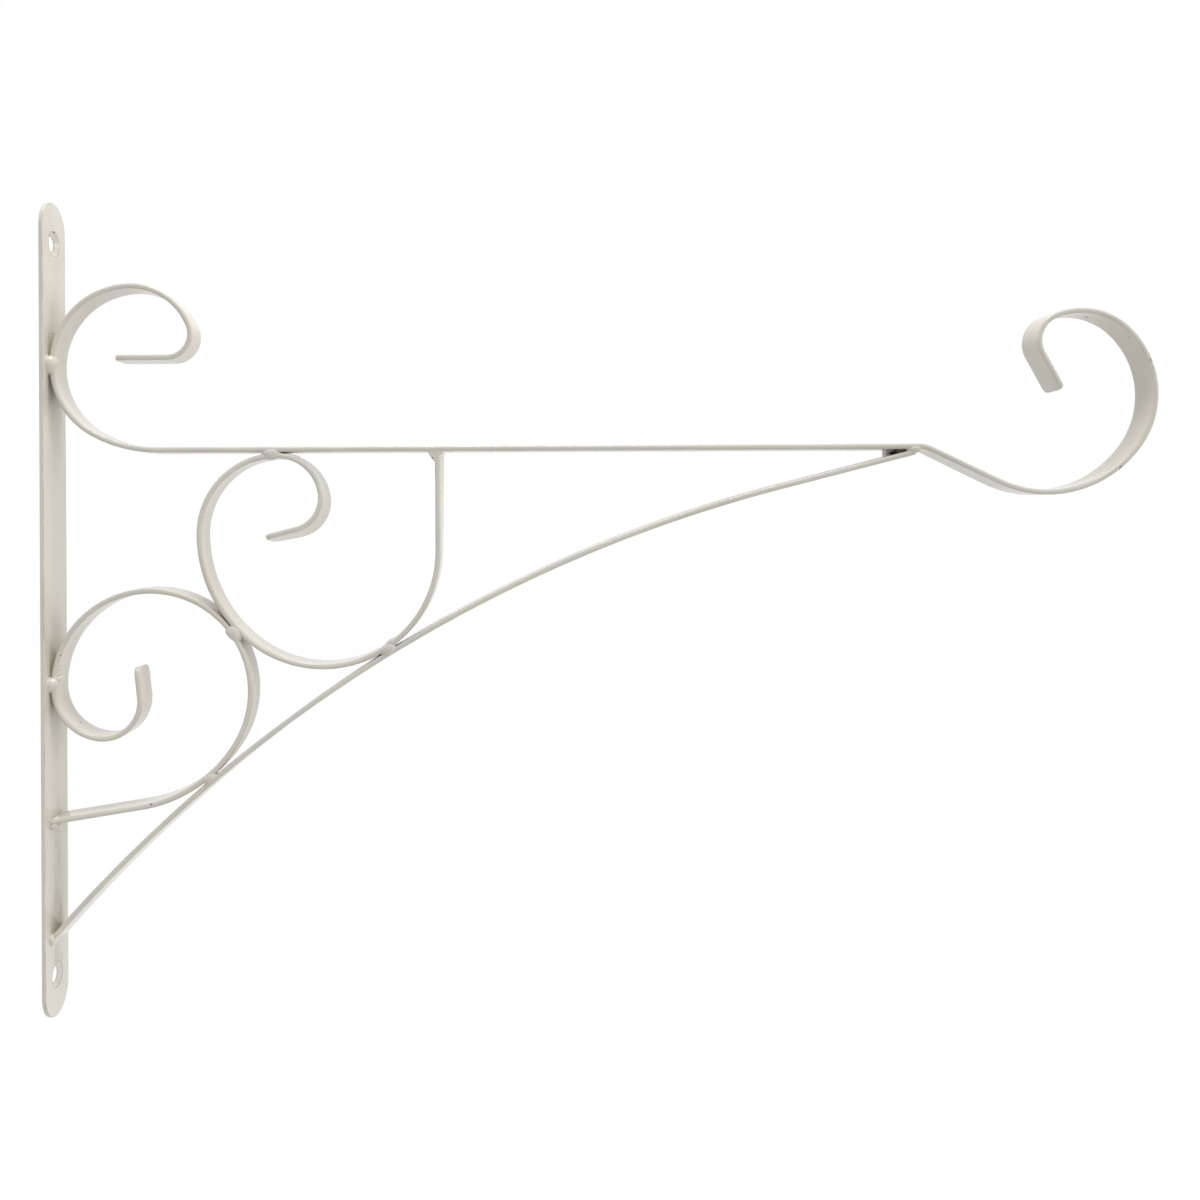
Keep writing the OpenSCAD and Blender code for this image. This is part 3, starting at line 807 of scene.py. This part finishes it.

# A bead in the sharp corner between the brace and the arm, and a web that fills the corner behind it,
# which painted shade darkens
weld("bead_brace_to_arm", "weld_brace_to_arm",
     arm_root(BRACE_REACH - 4, ROOT_L - 2), root(bent(brace_start, [(0, ROOT_L)])),
     blob((317.6, 57.4, BRACE_A / 2), (2.9, 1.5, 2.0), proud=0.4, power=0.9),
     web(BRACE_REACH, arm_under, [(-8.4, 0.3), (-0.2, 0.3), (-0.2, -1.5), (-8.4, -2.6)], 0, 5))


# Wall plate


def plate_outline(inset):
    """The plate's outline, drawn in by an inset: two straight sides and two half circles."""
    radius = PLATE_W / 2 - inset
    side = PLATE_H / 2 - PLATE_W / 2
    turned = np.linspace(0, math.pi, PLATE_END_POINTS)
    y = np.concatenate([radius * np.cos(turned), -radius * np.cos(turned)])
    z = np.concatenate([side + radius * np.sin(turned), -side - radius * np.sin(turned)])
    return y, z


def plate_skin():
    """The plate's rings run through its thickness: each corner is a quarter circle of insets."""
    depth = PLATE_EDGE_R * (1 - np.cos(CORNER_TURN))
    inset = PLATE_EDGE_R * (1 - np.sin(CORNER_TURN))
    level = np.concatenate([depth, PLATE_T - depth[::-1]])
    rings = []
    for x, drawn_in in zip(level, np.concatenate([inset, inset[::-1]])):
        y, z = plate_outline(drawn_in)
        rings.append(np.stack([np.full(len(y), x), y, z], axis=-1))
    return skin(np.array(rings), PLATE_WEAR * np.tile(CORNER_WEAR, 2)[:, None])


def hole_skin(z):
    """A countersunk screw hole, as the solid that is taken out: its profile turned about the hole's axis.

    The sink's rim is an arc of SINK_EDGE_R that starts along the cone and ends nearly flat.
    """
    cone_a = math.atan((SINK_D - SCREW_D) / 2 / SINK_DEPTH)
    arc = np.linspace(cone_a, math.radians(SINK_EDGE_A), SINK_EDGE_POINTS)
    rim_r = SINK_D / 2 + SINK_EDGE_R * math.tan((math.pi / 2 - cone_a) / 2)
    arc_x = PLATE_T - SINK_EDGE_R * (1 - np.sin(arc))
    arc_r = rim_r - SINK_EDGE_R * np.cos(arc)
    last_r = arc_r[-1] + math.tan(arc[-1]) * (PLATE_T - arc_x[-1])
    x = np.concatenate([[-DRILL_PAST, PLATE_T - SINK_DEPTH], arc_x, [PLATE_T, PLATE_T + DRILL_PAST]])
    radius = np.concatenate([[SCREW_D / 2] * 2, arc_r, [last_r, last_r + DRILL_FLARE]])
    turned = np.linspace(0, 2 * math.pi, HOLE_POINTS, endpoint=False)
    y, up = np.outer(radius, np.cos(turned)), np.outer(radius, np.sin(turned))
    return skin(np.stack([np.broadcast_to(x[:, None], y.shape), y, z + up], axis=-1))


def drilled_plate():
    """The plate's skin less its two screw holes."""
    whole = bpy.data.objects.new("plate_blank", mesh_of("plate_blank", plate_skin()))
    both = mesh_of("screw_holes", hole_skin(HOLES_Z), hole_skin(-HOLES_Z))
    holes = bpy.data.objects.new("screw_holes", both)
    for made in (whole, holes):
        bpy.context.scene.collection.objects.link(made)
    drill = whole.modifiers.new("drill", "BOOLEAN")
    drill.operation = "DIFFERENCE"
    drill.solver = "EXACT"
    drill.object = holes
    mesh = bpy.data.meshes.new_from_object(whole.evaluated_get(bpy.context.evaluated_depsgraph_get()))
    for made in (whole, holes):
        bpy.data.objects.remove(made)
    mesh.name = "drilled_plate"
    return mesh


piece(drilled_plate(), "wall_plate", coat)

# Stage: floor, light and camera. Lamps have a name, a place and a width in metres, and a power in watts.
FLOOR_Z = -300
FLOOR_HALF = 4000
PAPER = "#F2F2F2"
PAPER_ROUGH = 0.9
PAPER_WHITE = 0.98
WHITE = (1.0, 1.0, 1.0, 1.0)
BACK_STRENGTH = 0.85
FRONT_STRENGTH = 0.78
FRONT_TO_BACK = (-0.9, 0.3)
LEFT_SHARE = 0.65
LEFT_TO_RIGHT = (-0.8, 0.8)
LIT_POINT = (0.2, 0, 0)
LAMPS = [
    ("top_softbox", (0.15, -0.15, 1.2), 0.5, 8.5),
    ("left_softbox", (-1.2, -0.1, 0.4), 0.6, 1.5),
    ("right_softbox", (1.5, -0.1, 0.3), 0.6, 4),
]
CAMERA_PLACE = (0.176, -0.4115, 0.03546)
CAMERA_ROLL = 0.28
CAMERA_SHIFT = (0.0606, -0.0742)
SENSOR_MM = 36
LENS_MM = 33.39


def seen_rays(tree):
    """1 for the rays of the camera, of gloss and of glass, which see the plain white backdrop."""
    path = add(tree, "LightPath").outputs
    either = add(
        tree, "Math", {"operation": "MAXIMUM"}, feeds={0: path["Is Camera Ray"], 1: path["Is Glossy Ray"]}
    ).outputs[0]
    return add(
        tree, "Math", {"operation": "MAXIMUM"}, feeds={0: either, 1: path["Is Transmission Ray"]}
    ).outputs[0]


def paper_sweep():
    """Matt white paper: white to the camera, with a faint shadow left in it."""
    made = bpy.data.materials.new("paper_sweep")
    made.use_nodes = True
    tree = made.node_tree
    surface = tree.nodes["Principled BSDF"]
    surface.inputs["Base Color"].default_value = linear(PAPER)
    surface.inputs["Roughness"].default_value = PAPER_ROUGH
    part = add(tree, "Math", {"operation": "MULTIPLY"}, {1: PAPER_WHITE}, {0: seen_rays(tree)})
    glow = add(tree, "Emission", values={"Color": WHITE, "Strength": 1.0})
    both = add(tree, "MixShader", feeds={0: part.outputs[0], 1: surface.outputs[0], 2: glow.outputs[0]})
    tree.links.new(both.outputs[0], tree.nodes["Material Output"].inputs["Surface"])
    made.cycles.emission_sampling = "NONE"
    return made


def floor():
    """A square of paper, which takes the shadow but throws no light back, as that light is only noise."""
    mesh = bpy.data.meshes.new("floor")
    corners = np.array([(-1, -1, 0), (1, -1, 0), (1, 1, 0), (-1, 1, 0)]) * FLOOR_HALF + (0, 0, FLOOR_Z)
    mesh.from_pydata((corners * MM).tolist(), [], [(0, 1, 2, 3)])
    mesh.materials.append(paper_sweep())
    made = bpy.data.objects.new("floor", mesh)
    bpy.context.scene.collection.objects.link(made)
    made.visible_diffuse = False
    made.visible_shadow = False


def studio():
    """The room: its light fades towards the camera and to the left, and the camera sees it plain white."""
    world = bpy.data.worlds.new("studio")
    world.use_nodes = True
    bpy.context.scene.world = world
    tree = world.node_tree
    room = tree.nodes["Background"]
    room.inputs["Color"].default_value = WHITE
    way = add(tree, "SeparateXYZ", feeds={"Vector": add(tree, "TexCoord").outputs["Generated"]})
    depth = add(
        tree, "MapRange",
        values={"From Min": FRONT_TO_BACK[0], "From Max": FRONT_TO_BACK[1],
                "To Min": FRONT_STRENGTH, "To Max": BACK_STRENGTH},
        feeds={"Value": way.outputs["Y"]}
    ).outputs["Result"]
    side = add(
        tree, "MapRange",
        values={"From Min": LEFT_TO_RIGHT[0], "From Max": LEFT_TO_RIGHT[1],
                "To Min": LEFT_SHARE, "To Max": 1.0},
        feeds={"Value": way.outputs["X"]}
    ).outputs["Result"]
    level = add(tree, "Math", {"operation": "MULTIPLY"}, feeds={0: depth, 1: side})
    tree.links.new(level.outputs[0], room.inputs["Strength"])
    plain = add(tree, "Background", values={"Color": WHITE, "Strength": 1.0})
    both = add(tree, "MixShader", feeds={0: seen_rays(tree), 1: room.outputs[0], 2: plain.outputs[0]})
    tree.links.new(both.outputs[0], tree.nodes["World Output"].inputs["Surface"])


def softbox(name, place, width, power):
    """A square area lamp, turned to face the lit point."""
    lamp = bpy.data.lights.new(name, "AREA")
    lamp.size = width
    lamp.energy = power
    made = bpy.data.objects.new(name, lamp)
    made.location = place
    towards = np.array(LIT_POINT) - np.array(place)
    towards = towards / np.linalg.norm(towards)
    made.rotation_euler = (math.acos(-towards[2]), 0, math.atan2(towards[1], towards[0]) - math.pi / 2)
    bpy.context.scene.collection.objects.link(made)


def camera():
    """The photograph's camera, square to the plane of the bars and hardly rolled."""
    view = bpy.data.cameras.new("camera")
    view.sensor_width = SENSOR_MM
    view.lens = LENS_MM
    view.shift_x, view.shift_y = CAMERA_SHIFT
    view.clip_start = 0.01
    made = bpy.data.objects.new("camera", view)
    made.location = CAMERA_PLACE
    made.rotation_euler = (math.radians(90), math.radians(CAMERA_ROLL), 0)
    bpy.context.scene.collection.objects.link(made)
    bpy.context.scene.camera = made


floor()
studio()
for lamp in LAMPS:
    softbox(*lamp)
camera()
bpy.context.scene.view_settings.view_transform = "Standard"
